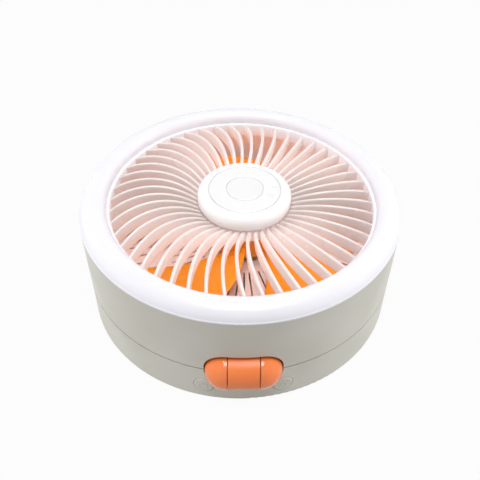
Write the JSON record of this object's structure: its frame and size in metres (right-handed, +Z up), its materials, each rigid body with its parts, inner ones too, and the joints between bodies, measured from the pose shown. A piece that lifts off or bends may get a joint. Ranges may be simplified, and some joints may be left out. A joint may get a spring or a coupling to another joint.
{
  "type": "portable camping fan",
  "caption": "Round folding battery fan: the grilled head with a light ring lies on a flat battery base and folds upright on an orange barrel hinge.",
  "frame": {"origin": "on the table surface under the middle of the round base", "axes": "+Z up along the closed drum's axis, -Y towards the hinge and the keys"},
  "size_m": [0.1998, 0.2081, 0.0848],
  "materials": {
    "shell_plastic": "satin warm grey-white",
    "ring_plastic": "milky light-spreading plastic",
    "grille_plastic": "smooth white",
    "cap_plastic": "smooth white",
    "badge_plastic": "smooth white",
    "orange_plastic": "glossy orange",
    "blade_plastic": "glossy orange, slightly clear",
    "rubber_black": "matt",
    "steel": "bright steel",
    "screw_steel": "zinc-plated",
    "cell_can": "stands in for a wrapped lithium cell",
    "board_green": "glass-fibre board",
    "board_white": "white lacquered board",
    "chip_black": "moulded parts",
    "lamp_yellow": "lamp resin",
    "nickel": "nickel strip",
    "copper": "enamelled copper wire",
    "magnet": "bonded magnet",
    "stator_iron": "stack of iron plates",
    "inner_plastic": "inner mouldings",
    "lead_black": "insulated wire"
  },
  "bodies": {
    "base": {"base_shell": "shell_plastic", "base_deck": "shell_plastic", "base_screws": "screw_steel", "rubber_feet": "rubber_black", "battery_cells": "cell_can", "battery_holder": "inner_plastic", "nickel_strips": "nickel", "power_board": "board_green", "board_parts": "chip_black", "usb_socket": "steel", "switch_boards": "board_green", "tact_switches": "chip_black", "hinge_left": "orange_plastic", "hinge_right": "orange_plastic", "hinge_pin": "steel", "hinge_washers": "steel", "hinge_screws": "screw_steel", "base_lead": "lead_black"},
    "head": {"head_shell": "shell_plastic", "rear_grille": "grille_plastic", "rear_cover": "grille_plastic", "rear_screws": "screw_steel", "front_grille": "grille_plastic", "front_screws": "screw_steel", "grille_cap": "cap_plastic", "cap_inlay": "cap_plastic", "cap_badge": "badge_plastic", "light_ring": "ring_plastic", "led_board": "board_white", "ring_leds": "lamp_yellow", "stator_core": "stator_iron", "stator_coils": "copper", "motor_bearings": "steel", "motor_board": "board_green", "hinge_middle": "orange_plastic", "arm_screws": "screw_steel", "motor_lead": "lead_black"},
    "impeller": {"impeller": "blade_plastic", "rotor_can": "steel", "rotor_magnet": "magnet", "motor_shaft": "steel", "shaft_clip": "steel"},
    "key_left": {"key_left": "shell_plastic"},
    "key_right": {"key_right": "shell_plastic"}
  },
  "joints": [
    {"name": "head_fold", "type": "hinge", "parent": "base", "child": "head", "pos_m": [0, -0.096, 0.029], "axis": [1, 0, 0], "range_deg": [0, 90]},
    {"name": "impeller_spin", "type": "hinge", "parent": "head", "child": "impeller", "pos_m": [0, 0, 0.05], "axis": [0, 0, 1], "continuous": true},
    {"name": "key_left_press", "type": "slide", "parent": "base", "child": "key_left", "axis": [0.2385, 0.9711, 0], "range_m": [0, 0.0008], "stiffness_N_per_m": 900, "springref_m": -0.0004},
    {"name": "key_right_press", "type": "slide", "parent": "base", "child": "key_right", "axis": [-0.2385, 0.9711, 0], "range_m": [0, 0.0008], "stiffness_N_per_m": 900, "springref_m": -0.0004}
  ]
}
